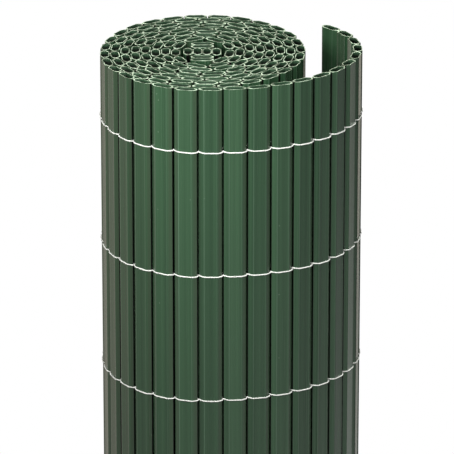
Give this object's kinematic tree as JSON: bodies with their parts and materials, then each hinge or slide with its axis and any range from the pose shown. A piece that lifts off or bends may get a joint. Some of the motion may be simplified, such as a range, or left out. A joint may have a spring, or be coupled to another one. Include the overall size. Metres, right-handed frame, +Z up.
{
  "type": "privacy screen mat",
  "caption": "Rolled privacy screen mat of hollow flat plastic slats bound side by side by rows of thread, standing on end with its outer end sprung loose.",
  "frame": {"origin": "middle of the roll's footprint, on the floor that the slats' lower ends stand on", "axes": "+Z up along the slats, +X towards the loose end, -Y towards the side where the loose end leaves the roll"},
  "size_m": [0.2022, 0.1894, 0.9],
  "materials": {
    "slat_plastic": "satin, extruded",
    "thread": "twisted white thread"
  },
  "bodies": {
    "root": {"core_slats": "slat_plastic", "wound_slats": "slat_plastic", "loose_end_slats": "slat_plastic", "binding_thread_1": "thread", "binding_thread_2": "thread", "binding_thread_3": "thread", "binding_thread_4": "thread", "binding_thread_5": "thread", "binding_thread_6": "thread", "binding_thread_7": "thread", "binding_thread_8": "thread", "binding_thread_9": "thread"}
  },
  "joints": []
}
